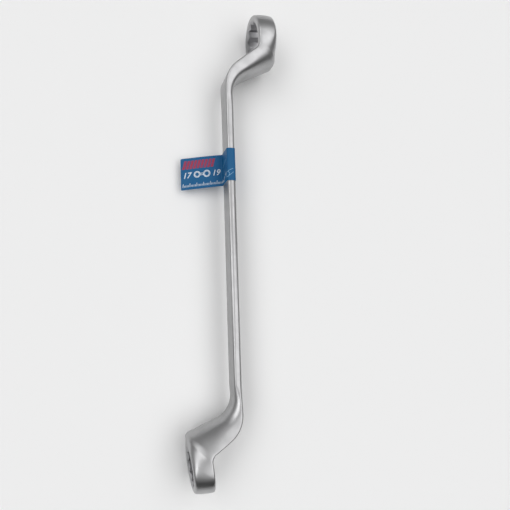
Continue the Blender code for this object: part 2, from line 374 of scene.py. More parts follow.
class Shader(Wiring):
    """A Principled material with short calls for the nodes that its finish needs."""

    def __init__(
        self, name: str, colour: Colour, roughness: float, metallic: float = 0.0, specular: float = 0.5
    ) -> None:
        """Starts the material with its plain values.

        Args:
            name: The material's name.
            colour: Its base colour.
            roughness: Its roughness.
            metallic: 1 for a metal and 0 for anything else.
            specular: How strongly it mirrors where it isn't a metal.
        """
        self.material = bpy.data.materials.new(name)
        self.material.use_nodes = True
        super().__init__(self.material.node_tree)
        self.surface = self.nodes["Principled BSDF"]
        self.feed("Base Color", (*colour, 1.0))
        self.feed("Roughness", roughness)
        self.feed("Metallic", metallic)
        self.feed("Specular IOR Level", specular)
        self.place = self.add("ShaderNodeTexCoord").outputs["Object"]

    def feed(self, socket: str, value: Value) -> None:
        """Gives one of the shader's inputs a value or another node's socket."""
        self.give(self.surface.inputs[socket], value)

    def noise(self, scale: float, detail: float, stretch: Colour = (1.0, 1.0, 1.0)) -> bpy.types.NodeSocket:
        """Cloudy noise on Object coordinates.

        Args:
            scale: Clouds to a metre.
            detail: How many finer octaves it has.
            stretch: Factors on the three axes, below 1 for streaks along that axis.

        Returns:
            The noise's value socket.
        """
        turn = self.add("ShaderNodeMapping", {"Vector": self.place, "Scale": stretch}).outputs["Vector"]
        cloud = {"Vector": turn, "Scale": scale, "Detail": detail}
        return self.add("ShaderNodeTexNoise", cloud).outputs["Fac"]

    def mixed(self, share: bpy.types.NodeSocket, first: Colour, second: Colour) -> bpy.types.NodeSocket:
        """A mix of two colours by a share."""
        colours = {"Factor": share, "A": (*first, 1.0), "B": (*second, 1.0)}
        return self.add("ShaderNodeMix", colours, data_type="RGBA").outputs["Result"]

    def bump(self, height: bpy.types.NodeSocket, depth: float, strength: float) -> None:
        """Raises the surface by a height value, as deep as depth in metres."""
        sizes = {"Strength": strength, "Distance": depth, "Height": height}
        self.feed("Normal", self.add("ShaderNodeBump", sizes).outputs["Normal"])


@dataclass(frozen=True)
class SatinPlate:
    """Satin chrome plate over a tumbled forging, and its slightly darker broached socket walls."""

    colour: Colour = (0.435, 0.435, 0.44)
    cloud_colour: Colour = (0.395, 0.395, 0.40)
    socket_colour: Colour = (0.41, 0.41, 0.42)
    roughness: Pair = (0.31, 0.40)
    socket_roughness: Pair = (0.28, 0.42)
    cloud_range: Pair = (0.3, 0.7)
    cloud_scale: float = 170.0
    grain_scale: float = 1100.0
    grain_depth: float = 0.00001
    broach_scale: float = 1500.0

    def plate(self) -> bpy.types.Material:
        """The plated steel, with faint clouds in its tone and gloss and a fine tumbled grain.

        Returns:
            Its material.
        """
        shader = Shader("satin_chrome", self.colour, self.roughness[0], metallic=1.0)
        clouds = shader.noise(self.cloud_scale, 4.0)
        tone = shader.ranged(clouds, self.cloud_range, (0.0, 1.0))
        shader.feed("Base Color", shader.mixed(tone, self.colour, self.cloud_colour))
        shader.feed("Roughness", shader.ranged(clouds, self.cloud_range, self.roughness))
        shader.bump(shader.noise(self.grain_scale, 6.0), self.grain_depth, 0.5)
        return shader.material

    def broached(self) -> bpy.types.Material:
        """The socket walls, with the broach's fine lines along the ring's axis.

        Returns:
            Their material.
        """
        shader = Shader("broached_steel", self.socket_colour, self.roughness[1], metallic=1.0)
        lines = shader.noise(self.broach_scale, 3.0, stretch=(0.04, 1.0, 1.0))
        shader.feed("Roughness", shader.ranged(lines, self.cloud_range, self.socket_roughness))
        shader.bump(lines, self.grain_depth, 0.6)
        return shader.material


@dataclass
class SpannerForging:
    """The whole spanner: shank, cranked necks and two rings with their sockets cut through."""

    ends: tuple[RingEnd, RingEnd]
    finish: SatinPlate
    shank_thickness: float = 4.5
    shank_width: float = 12.6
    shank_edge: float = 1.5
    shank_straight: float = 75.0
    inner_mitre: float = 3.8
    outer_mitre: float = 2.2
    mitre_softening: float = 4.0
    least_back: float = 0.6
    chamfer_past_points: float = 0.5
    chamfer_angle: float = 40.0
    relief_length: float = 10.5
    relief_step: float = 0.2
    cutter_overrun: float = 3.0
    corner_softness: float = 0.02
    crease_angle: float = 26.0
    socket_sides: int = 288
    neck_steps: int = 60
    mitre_steps: int = 12
    ring_steps: int = 66
    shank_steps: int = 24
    rim_steps: int = 8
    back_steps: int = 26
    flat_steps: int = 10

    def wall_levels(self, end: RingEnd, thickness: float, inner_rim: float, share: float) -> Profile:
        """Depths through the bar with the wall's stand-back at each, without its outer edge.

        Args:
            end: The end whose wall it is.
            thickness: The bar's thickness there.
            inner_rim: Rim radius on the neck's hollow side.
            share: How much of the ring's crown and taper the wall has there.

        Returns:
            Pairs of depth from the hollow side and stand-back, from one face to the other.
        """
        rest = thickness - inner_rim
        rim_turns = [pi / 2 * step / self.rim_steps for step in range(self.rim_steps)]
        back_turns = [pi / 2 * step / self.back_steps for step in range(self.back_steps + 1)]
        depths = [inner_rim * (1 - cos(turn)) for turn in rim_turns]
        depths += [inner_rim + rest * sin(turn) for turn in back_turns]
        middle = thickness / 2
        levels = []
        for depth in depths:
            crown = end.crown * ((depth - middle) / middle) ** 2
            stand_back = share * (crown + end.taper * depth / thickness)
            if depth < inner_rim:
                stand_back += inner_rim - sqrt(inner_rim**2 - (inner_rim - depth) ** 2)
            levels.append((depth, stand_back))
        return levels

    def outer_edge(self, end: RingEnd, small: float, grow: float, to_face: float) -> float:
        """Stand-back of the outer edge, which grows from a small radius to the neck's round back.

        Args:
            end: The end whose edge it is.
            small: The edge's radius before it grows.
            grow: How far it has grown, from 0 to 1.
            to_face: Distance from the outer face.

        Returns:
            How far the wall stands back there.
        """
        deep = small + (end.back_depth - small) * grow
        wide = small + (end.back_width - small) * grow
        inward = min(max(1 - to_face / deep, 0.0), 1.0)
        return wide * (1 - sqrt(1 - inward**2))

    def plan_half_width(self, end: RingEnd, inset: float, across: float) -> float:
        """Half the ring's width in plan at a place across it.

        The plan is a circle that runs out along its tangents to the neck.

        Args:
            end: The ring's end.
            inset: How far the plan stands inside the ring's radius.
            across: The place across the ring.

        Returns:
            Half the width there.
        """
        radius = end.ring_radius - inset
        angle = atan(end.flank_slope)
        leave = -radius * sin(angle)
        if across < leave:
            return radius * cos(angle) + (across - leave) * end.flank_slope
        return sqrt(max(radius**2 - across**2, 0.0))

    def plan_spot(self, end: RingEnd, inset: float, first: float, share: float) -> float:
        """Place across the ring at a share of its outline's length, from first to the far rim.

        Args:
            end: The ring's end.
            inset: How far the outline stands inside the ring's radius.
            first: The place across the ring where the outline starts.
            share: How far along the outline.

        Returns:
            The place across the ring.
        """
        radius = end.ring_radius - inset
        angle = atan(end.flank_slope)
        leave = -radius * sin(angle)
        flank = max(leave - first, 0.0) / cos(angle)
        begin = asin(max(first, leave) / radius)
        run = share * (flank + radius * (pi / 2 - begin))
        if run < flank:
            return first + run * cos(angle)
        return radius * sin(begin + (run - flank) / radius)

    def profile_lines(self, end: RingEnd) -> tuple[BentLine, BentLine]:
        """Lines of the hollow and the outer side, from the shank past the mitre to the ring's far rim.

        Args:
            end: The end to draw, as the one at +Y.

        Returns:
            The hollow side's line and the outer side's.
        """
        lines = []
        for side, bend_at, bend, meet, mitre in (
            (-1, end.inner_bend_at, end.inner_bend_radius, end.inner_meet, self.inner_mitre),
            (1, end.outer_bend_at, end.outer_bend_radius, end.outer_meet, self.outer_mitre),
        ):
            corners = [
                np.array((side * self.shank_thickness / 2, self.shank_straight)),
                np.array((side * self.shank_thickness / 2, bend_at)),
                end.place(side * end.ring_height / 2, meet),
                end.place(side * end.ring_height / 2, end.ring_radius),
            ]
            lines.append(BentLine(corners, [bend, mitre]))
        return lines[0], lines[1]

    def neck_row(self, end: RingEnd, share: float, a: np.ndarray, b: np.ndarray) -> Section:
        """One section of the neck between a point of its hollow line and one of its outer line.

        Args:
            end: The neck's end.
            share: How far along the neck it is.
            a: The point of the hollow line.
            b: The point of the outer line.

        Returns:
            Its points as (x, y, half width), from the hollow side to the outer side.
        """
        inner_rim = self.shank_edge + (end.inner_rim - self.shank_edge) * share
        thickness = float(np.linalg.norm(b - a))
        thickness += (end.ring_height - thickness) * share**4
        row = []
        for depth, stand_back in self.wall_levels(end, thickness, inner_rim, share):
            part = depth / thickness
            meet = end.inner_meet + (end.outer_meet - end.inner_meet) * part
            flank = self.plan_half_width(end, 0.0, meet)
            half = self.shank_width / 2 + (flank - self.shank_width / 2) * share**end.spread - stand_back
            half -= self.outer_edge(end, self.shank_edge, share**end.back_growth, thickness - depth)
            row.append((*(a + (b - a) * part), max(half, self.least_back)))
        return row

    def mitre_row(self, end: RingEnd, a: np.ndarray, b: np.ndarray) -> Section:
        """One section in the bend where the neck runs into the ring.

        Args:
            end: The ring's end.
            a: The point of the hollow line.
            b: The point of the outer line.

        Returns:
            Its points as (x, y, half width), from the hollow side to the outer side.
        """
        row = []
        for depth, stand_back in self.wall_levels(end, end.ring_height, end.inner_rim, 1.0):
            spot = a + (b - a) * depth / end.ring_height
            half = self.plan_half_width(end, stand_back, end.across(spot))
            half -= self.outer_edge(end, end.outer_rim, 1.0, end.ring_height - depth)
            row.append((*spot, max(half, self.least_back)))
        return row

    def ring_row(self, end: RingEnd, share: float, inner_first: float, outer_first: float) -> Section:
        """One section across the ring, at a share of the way from the mitre to its far rim.

        Args:
            end: The ring's end.
            share: How far on the way it is.
            inner_first: Where the ring starts across it, on the hollow side.
            outer_first: Where it starts on the outer side.

        Returns:
            Its points as (x, y, half width), from the hollow side to the outer side.
        """
        grow = (1 - min(share * end.back_fade, 1.0)) ** 2
        row = []
        for depth, stand_back in self.wall_levels(end, end.ring_height, end.inner_rim, 1.0):
            edge = self.outer_edge(end, end.outer_rim, grow, end.ring_height - depth)
            inset = stand_back + (1 - grow) * edge
            first = inner_first + (outer_first - inner_first) * depth / end.ring_height
            across = self.plan_spot(end, inset, first, share)
            half = self.plan_half_width(end, inset, across) - grow * edge
            row.append((*end.place(depth - end.ring_height / 2, across), max(half, self.least_back * grow)))
        return row

    def end_rows(self, end: RingEnd) -> np.ndarray:
        """Sections of one end from the straight shank to the ring's far rim.

        Args:
            end: The end to draw, as the one at +Y.

        Returns:
            An array of sections by levels by (x, y, half width).
        """
        inner, outer = self.profile_lines(end)
        # Counted from the start's 0, marks 3 and 4 are where a line's mitre begins and ends.
        inner_begin, inner_stop = inner.marks[3:5]
        outer_begin, outer_stop = outer.marks[3:5]
        rows = []
        for step in range(self.neck_steps):
            share = step / self.neck_steps
            a = inner.at(inner_begin * share)
            b = outer.at(outer_begin * share)
            rows.append(self.neck_row(end, share, a, b))
        for step in range(self.mitre_steps + 1):
            share = step / self.mitre_steps
            a = inner.at(inner_begin + (inner_stop - inner_begin) * share)
            b = outer.at(outer_begin + (outer_stop - outer_begin) * share)
            rows.append(self.mitre_row(end, a, b))
        for step in range(1, self.ring_steps + 1):
            rows.append(self.ring_row(end, step / self.ring_steps, end.across(a), end.across(b)))
        sections = np.array(rows)
        spacing = (inner_begin + outer_begin) / 2 / self.neck_steps
        self.soften(sections[:, :, 2], self.neck_steps + self.mitre_steps // 2, spacing)
        return sections

    def soften(self, half_widths: np.ndarray, middle: int, spacing: float) -> None:
        """Evens out the half widths either side of the mitre, so that the wall has no crease there.

        Args:
            half_widths: Sections by levels, changed in place.
            middle: The section in the middle of the mitre.
            spacing: The distance from one section to the next.
        """
        reach = round(4 * self.mitre_softening / spacing)
        span = np.arange(middle - reach, middle + reach + 1)
        fade = (1 - ((span - middle) / reach) ** 2)[:, None]
        for _ in range(round(2 * (self.mitre_softening / spacing) ** 2)):
            mean = (half_widths[span - 1] + 2 * half_widths[span] + half_widths[span + 1]) / 4
            half_widths[span] += (mean - half_widths[span]) * fade

    def loops(self) -> np.ndarray:
        """Closed loops of points round each section, from the small ring's far rim to the large ring's.

        Returns:
            An array of loops by points by (x, y, z).
        """
        large, small = (self.end_rows(end) for end in self.ends)
        turned = small[::-1, ::-1] * np.array((-1.0, -1.0, 1.0))
        steps = [step / self.shank_steps for step in range(1, self.shank_steps)]
        shank = np.stack([turned[-1] + (large[0] - turned[-1]) * share for share in steps])
        rows = np.concatenate([turned, shank, large])
        spread = [cos(pi * step / self.flat_steps) for step in range(1, self.flat_steps)]
        outer_flat = np.stack([rows[:, -1] * np.array((1.0, 1.0, s)) for s in spread], axis=1)
        inner_flat = np.stack([rows[:, 0] * np.array((1.0, 1.0, -s)) for s in spread], axis=1)
        far = rows[:, ::-1] * np.array((1.0, 1.0, -1.0))
        return np.concatenate([rows, outer_flat, far, inner_flat], axis=1)

    def socket_radius(self, end: RingEnd, angle: float) -> float:
        """Distance from the axis to the 12-point outline, its crests and points slightly rounded.

        Args:
            end: The socket's end.
            angle: The angle about the axis, in radians.

        Returns:
            The distance.
        """
        off_notch = abs(angle % (pi / 6) - pi / 12)
        softened = sqrt(off_notch**2 + self.corner_softness**2)
        return end.across_flats / 2 / cos(pi / 12 + min(softened, pi / 12))

    def socket_cutter(self, end: RingEnd) -> bpy.types.Object:
        """Solid of the socket's room: 12 points, both chamfers, and the relief through the neck.

        Args:
            end: The socket's end.

        Returns:
            The cutter, which is removed after the cut.
        """
        face = end.ring_height / 2
        mouth = end.point_radius() + self.chamfer_past_points
        rise = tan(radians(self.chamfer_angle))
        relief = mouth + self.relief_step / rise
        sense = -1.0 if end.turned else 1.0
        rings: list[list[tuple[float, float, float]]] = [[], [], [], [], []]
        for i in range(self.socket_sides):
            angle = 2 * pi * i / self.socket_sides
            wall = self.socket_radius(end, angle)
            edge = face - (mouth - wall) * rise
            stops = (
                (face + self.cutter_overrun, mouth + self.cutter_overrun / rise),
                (edge, wall),
                (-edge, wall),
                (-face - self.relief_step, relief),
                (-face - self.relief_length, relief),
            )
            for ring, (on_axis, radius) in zip(rings, stops):
                spot = end.place(on_axis, radius * cos(angle))
                ring.append((sense * spot[0], sense * spot[1], radius * sin(angle)))
        sides = self.socket_sides
        faces: list[tuple[int, ...]] = [tuple(range(sides)), tuple(range(4 * sides, 5 * sides))]
        for k in range(4):
            for i in range(sides):
                j = (i + 1) % sides
                faces.append((k * sides + i, k * sides + j, (k + 1) * sides + j, (k + 1) * sides + i))
        return mesh_object(f"cutter_{end.name}", BENCH.points(np.array(rings).reshape(-1, 3)), faces)

    def build(self) -> bpy.types.Object:
        """Builds the forging with its sockets cut.

        Returns:
            The finished piece, with its plate outside and its broached walls in the sockets.
        """
        loops = self.loops()
        count, sides = loops.shape[:2]
        faces = []
        for i in range(count - 1):
            for j in range(sides):
                k = (j + 1) % sides
                faces.append((i * sides + j, i * sides + k, (i + 1) * sides + k, (i + 1) * sides + j))
        piece = mesh_object("spanner", BENCH.points(loops.reshape(-1, 3)), faces)
        piece.data.materials.append(self.finish.plate())
        wall_finish = self.finish.broached()
        cutters = [self.socket_cutter(end) for end in self.ends]
        for cutter in cutters:
            cutter.data.materials.append(wall_finish)
            cut = piece.modifiers.new(cutter.name, "BOOLEAN")
            cut.operation = "DIFFERENCE"
            cut.solver = "EXACT"
            cut.material_mode = "TRANSFER"
            cut.object = cutter
        mesh = seen_mesh(piece)
        piece.modifiers.clear()
        piece.data = mesh
        for cutter in cutters:
            bpy.data.objects.remove(cutter)
        piece.data.shade_smooth()
        piece.data.set_sharp_from_angle(angle=radians(self.crease_angle))
        return piece

    def dress(self, piece: bpy.types.Object) -> None:
        """Puts the forging in place of its CAD node.

        Args:
            piece: The finished forging.
        """
        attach(piece, "spanner")
        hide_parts("spanner_forging")


@dataclass(frozen=True)
class LabelStock:
    """Printed plastic film and its inks."""

    film_colour: Colour = (0.003, 0.100, 0.258)
    faded_colour: Colour = (0.012, 0.114, 0.252)
    cut_colour: Colour = (0.62, 0.66, 0.70)
    roughness: float = 0.42
    face_roughness: Pair = (0.36, 0.50)
    gloss: float = 0.25
    most_faded: float = 0.6
    most_worn: float = 0.35
    fleck_scale: float = 900.0
    crease_scale: float = 260.0
    crease_depth: float = 0.00012

    def film(self) -> bpy.types.Material:
        """The blue printed face, with a faint fleck in its ink and soft handling creases.

        Returns:
            Its material.
        """
        shader = Shader("label_film", self.film_colour, self.roughness, specular=self.gloss)
        fleck = shader.noise(self.fleck_scale, 3.0)
        faded = shader.ranged(fleck, (0.35, 0.7), (0.0, self.most_faded))
        shader.feed("Base Color", shader.mixed(faded, self.film_colour, self.faded_colour))
        shader.feed("Roughness", shader.ranged(fleck, (0.3, 0.7), self.face_roughness))
        shader.bump(shader.noise(self.crease_scale, 2.0), self.crease_depth, 0.35)
        return shader.material

    def cut_edge(self) -> bpy.types.Material:
        """The white film seen at its cut edges."""
        return Shader("label_cut_edge", self.cut_colour, 0.5).material

    def ink(self, name: str, colour: Colour) -> bpy.types.Material:
        """One printed ink, slightly uneven.

        Args:
            name: The ink's name.
            colour: Its full colour.

        Returns:
            The ink's material.
        """
        shader = Shader(name, colour, self.roughness, specular=self.gloss)
        fleck = shader.noise(self.fleck_scale, 3.0)
        worn = shader.ranged(fleck, (0.4, 0.75), (0.0, self.most_worn))
        shader.feed("Base Color", shader.mixed(worn, colour, self.film_colour))
        return shader.material


class Ink(Enum):
    """The label's printed colours."""

    RED = (0.36, 0.035, 0.075)
    WHITE = (0.72, 0.77, 0.82)
    PALE_BLUE = (0.22, 0.42, 0.60)


@dataclass
class LabelFilm:
    """One strip of film stuck round the shank, its two ends stuck back to back as a flag.

    A place on the label is given by its run along the strip's printed side, from the flag's tip on its upper
    layer over the shank and back to the tip on the lower layer, by its height along the shank from the
    strip's middle line, and by its lift off the print. All are in millimetres.
    """

    stock: LabelStock
    forging: SpannerForging
    film: float = 0.12
    standoff: float = 0.08
    width: float = 18.0
    centre: float = 42.9
    lean: float = 0.03
    flag_lean: float = 0.115
    flag_length: float = 22.8
    root_at: float = -3.0
    root_droop: float = 3.6
    tip_droop: float = 13.6
    fillet: float = 0.6
    lift_off_radius: float = 14.0
    tip_corner: float = 0.7
    ripple: float = 0.16
    ripple_along: float = 0.5
    ripple_across: float = 0.3
    ripple_start: float = 0.8
    blend_before: float = 0.1
    blend_past: float = 1.5
    crease_angle: float = 40.0
    samples: int = 5000
    tip_steps: int = 6
    layer_steps: int = 110
    wrap_steps: int = 260
    across_steps: int = 28

    def __post_init__(self) -> None:
        """Works out the printed side's path and a dense table of its points and normals."""
        self.path = BentLine(*self._corners())
        marks = self.path.marks
        self.upper_root, self.lower_root = marks[2], marks[-3]
        self.length = marks[-1]
        self.runs = np.linspace(0.0, self.length, self.samples)
        spots = np.array([self.path.at(run) for run in self.runs])
        slopes = np.gradient(spots, self.runs, axis=0)
        slopes /= np.linalg.norm(slopes, axis=1)[:, None]
        self.spots = spots
        self.normals = np.stack([-slopes[:, 1], slopes[:, 0]], axis=1)

    def _corners(self) -> tuple[list[np.ndarray], list[float]]:
        """Corners and bend radii of the printed side in the X-Z plane.

        Returns:
            The path's corners, and the radius at each but the first and the last.
        """
        stand = self.standoff + self.film
        side = self.forging.shank_thickness / 2 + stand
        front = self.forging.shank_width / 2 + stand
        corner = self.forging.shank_edge + stand
        droop = radians(self.root_droop)
        turn = radians(self.tip_droop - self.root_droop)
        arc = self.flag_length / turn
        heading = np.array((-cos(droop), -sin(droop)))
        tip_heading = np.array((-cos(droop + turn), -sin(droop + turn)))
        up = np.array((heading[1], -heading[0]))
        lift_off = self.lift_off_radius * tan(droop / 2)
        back_bend = np.array((self.root_at + lift_off * cos(droop), -front))
        lower_root = back_bend + heading * lift_off
        upper_root = lower_root + up * 2 * self.film
        corners = []
        for root, radius in ((upper_root, arc - 2 * self.film), (lower_root, arc)):
            knee = root + heading * radius * tan(turn / 2)
            corners.append((knee, knee + tip_heading * radius * tan(turn / 2)))
        (upper_knee, upper_tip), (lower_knee, lower_tip) = corners
        foot = upper_root - heading * ((-side - upper_root[0]) / -heading[0])
        path = [
            upper_tip, upper_knee, foot, np.array((-side, front)), np.array((side, front)),
            np.array((side, -front)), back_bend, lower_knee, lower_tip,
        ]
        radii = [arc - 2 * self.film, self.fillet, corner, corner, corner, self.lift_off_radius, arc]
        return path, radii

    def places(self, marks: np.ndarray) -> np.ndarray:
        """Places in the spanner's frame of places on the label.

        Args:
            marks: Rows of run, height and lift.

        Returns:
            Rows of x, y and z in millimetres.
        """
        run, height, lift = marks.T
        spot = np.stack([np.interp(run, self.runs, self.spots[:, i]) for i in (0, 1)], axis=1)
        normal = np.stack([np.interp(run, self.runs, self.normals[:, i]) for i in (0, 1)], axis=1)
        upper = np.clip(self.upper_root - run, 0.0, None)
        lower = np.clip(run - self.lower_root, 0.0, None)
        out = np.maximum(upper, lower)
        phase = self.ripple_along * out + self.ripple_across * height + self.ripple_start
        wave = self.ripple * out / self.flag_length * np.sin(phase)
        spot = spot + normal * (lift + np.where(lower > 0, -wave, wave))[:, None]
        level = np.where(out > 0, -self.forging.shank_width / 2 - self.standoff, spot[:, 1])
        middle = self.centre + self.lean * level - self.flag_lean * out
        return np.stack([spot[:, 0], middle + height, spot[:, 1]], axis=1)

    def half_width(self, run: float) -> float:
        """Half the strip's width, with its flag's two corners rounded.

        Args:
            run: The place along the strip.

        Returns:
            Half the width there.
        """
        to_tip = min(run, self.length - run)
        rest = max(self.tip_corner - to_tip, 0.0)
        return self.width / 2 - self.tip_corner + sqrt(self.tip_corner**2 - rest**2)

    def stations(self) -> tuple[np.ndarray, int]:
        """Runs at which the film has points, the same for both layers of the flag.

        Returns:
            The runs in order, and how many of them lie on the flag's upper layer, its root included.
        """
        turns = [pi / 2 * step / self.tip_steps for step in range(self.tip_steps)]
        tip = [self.tip_corner * (1 - cos(turn)) for turn in turns]
        rest = np.linspace(self.tip_corner, self.upper_root, self.layer_steps)
        upper = np.concatenate([tip, rest])
        share = (self.length - self.lower_root) / self.upper_root
        lower = self.length - upper[::-1] * share
        wrap = np.linspace(self.upper_root, self.lower_root, self.wrap_steps)[1:-1]
        return np.concatenate([upper, wrap, lower]), len(upper)

    def build(self) -> bpy.types.Object:
        """Builds the film as one closed solid: two layers in the flag and one round the shank.

        Returns:
            The finished piece with its printed and its cut faces.
        """
        runs, flag = self.stations()
        count = len(runs)
        heights = np.linspace(-1.0, 1.0, self.across_steps + 1)
        outer = [[(run, h * self.half_width(run), 0.0) for h in heights] for run in runs]
        wrap = runs[flag - 1 : count - flag + 1]
        inner = [[(run, h * self.width / 2, -self.film) for h in heights] for run in wrap]
        points = self.places(np.array(outer + inner[:-1]).reshape(-1, 3))
        wide = len(heights)
        last_inner = len(inner) - 1
        bend = flag - 1

        def at(row: int, k: int) -> int:
            """Number of a point on the printed side."""
            return row * wide + k

        def under(row: int, k: int) -> int:
            """Number of a point on the glued side: its first and last rows are the seam."""
            return (count + row % last_inner) * wide + k

        printed: list[tuple[int, ...]] = []
        for row in range(count - 1):
            for k in range(wide - 1):
                printed.append((at(row, k), at(row, k + 1), at(row + 1, k + 1), at(row + 1, k)))
        cut: list[tuple[int, ...]] = []
        for row in range(last_inner):
            for k in range(wide - 1):
                cut.append((under(row, k), under(row, k + 1), under(row + 1, k + 1), under(row + 1, k)))
        for k in range(wide - 1):
            cut.append((at(0, k), at(0, k + 1), at(count - 1, k + 1), at(count - 1, k)))
        for k in (0, wide - 1):
            for row in range(last_inner):
                cut.append((at(bend + row, k), at(bend + row + 1, k), under(row + 1, k), under(row, k)))
            for row in range(bend - 1):
                cut.append((at(row, k), at(row + 1, k), at(count - 2 - row, k), at(count - 1 - row, k)))
            seam = (at(bend, k), under(0, k), at(count - 1 - bend, k))
            cut.append((at(bend - 1, k), *seam, at(count - bend, k)))
        piece = mesh_object("label_film", BENCH.points(points), printed + cut)
        piece.data.materials.append(self.stock.film())
        piece.data.materials.append(self.stock.cut_edge())
        finish = np.zeros(len(piece.data.polygons), dtype=np.int32)
        finish[len(printed):] = 1
        piece.data.polygons.foreach_set("material_index", finish)
        piece.data.shade_smooth()
        piece.data.set_sharp_from_angle(angle=radians(self.crease_angle))
        return piece

    def bend_with_flag(self, piece: bpy.types.Object) -> None:
        """Bakes a piece's placement on the bench into its mesh.

        Args:
            piece: The film, or a piece of its print.
        """
        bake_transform(piece)

    def dress(self, piece: bpy.types.Object) -> None:
        """Puts the film in place of its two CAD nodes."""
        self.bend_with_flag(piece)
        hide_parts("label_wrap", "label_flag")


@dataclass(frozen=True)
class MarkRow:
    """A row of like printed marks. Lengths in millimetres."""

    count: int
    spacing: float
    thick: float
    tall: float
    tallest: float
    every: int
    slant: float

    def tree(self, finish: bpy.types.Material) -> bpy.types.NodeTree:
        """Geometry Nodes that stand the marks on a line.

        Args:
            finish: The marks' ink.

        Returns:
            The node group, with named inputs for its sizes.
        """
        group = bpy.data.node_groups.new("mark_row", "GeometryNodeTree")
        group.interface.new_socket("Geometry", in_out="OUTPUT", socket_type="NodeSocketGeometry")
        for name, kind in (
            ("Count", "Int"), ("Spacing", "Float"), ("Thick", "Float"), ("Tall", "Float"),
            ("Tallest", "Float"), ("Every", "Int"), ("Slant", "Float"), ("Lift", "Float"),
        ):
            group.interface.new_socket(name, in_out="INPUT", socket_type=f"NodeSocket{kind}")
        wiring = Wiring(group)
        given = wiring.add("NodeGroupInput").outputs
        step = {"Count": given["Count"], "Offset": wiring.vector(given["Spacing"])}
        line = wiring.add("GeometryNodeMeshLine", step).outputs["Mesh"]
        index = wiring.add("GeometryNodeInputIndex").outputs[0]
        beat = wiring.math("FLOORED_MODULO", index, given["Every"])
        choice = {
            "Switch": wiring.math("LESS_THAN", beat, 0.5), "False": given["Tall"], "True": given["Tallest"],
        }
        tall = wiring.add("GeometryNodeSwitch", choice, input_type="FLOAT").outputs["Output"]
        block = wiring.add("GeometryNodeMeshCube", {"Vertices Y": 5}).outputs["Mesh"]
        cornered = {"Geometry": block, "Translation": (0.5, 0.5, 0.0)}
        mark = wiring.add("GeometryNodeTransform", cornered).outputs["Geometry"]
        size = wiring.vector(given["Thick"], tall, given["Lift"])
        row = {"Points": line, "Instance": mark, "Scale": size}
        marks = wiring.add("GeometryNodeInstanceOnPoints", row).outputs["Instances"]
        real = wiring.add("GeometryNodeRealizeInstances", {"Geometry": marks}).outputs["Geometry"]
        spot = wiring.add("GeometryNodeInputPosition").outputs[0]
        height = wiring.add("ShaderNodeSeparateXYZ", {0: spot}).outputs["Y"]
        sideways = wiring.vector(wiring.math("MULTIPLY", height, given["Slant"]))
        slanted = {"Geometry": real, "Offset": sideways}
        lean = wiring.add("GeometryNodeSetPosition", slanted).outputs["Geometry"]
        inked = {"Geometry": lean, "Material": finish}
        ink = wiring.add("GeometryNodeSetMaterial", inked).outputs["Geometry"]
        wiring.add("NodeGroupOutput", {"Geometry": ink})
        return group

    def flat_mesh(self, finish: bpy.types.Material, lift: float) -> bpy.types.Mesh:
        """The marks as a plain mesh lying flat: run on X, height on Y, lift on Z.

        Args:
            finish: The marks' ink.
            lift: How thick the ink lies.

        Returns:
            The mesh.
        """
        carrier = link(bpy.data.objects.new("mark_row", bpy.data.meshes.new("mark_row")))
        nodes = carrier.modifiers.new("marks", "NODES")
        nodes.node_group = self.tree(finish)
        sizes = {
            "Count": self.count, "Spacing": self.spacing, "Thick": self.thick, "Tall": self.tall,
            "Tallest": self.tallest, "Every": self.every, "Slant": self.slant, "Lift": lift,
        }
        for socket in nodes.node_group.interface.items_tree:
            if socket.name in sizes:
                nodes[socket.identifier] = sizes[socket.name]
        mesh = seen_mesh(carrier)
        bpy.data.objects.remove(carrier)
        return mesh


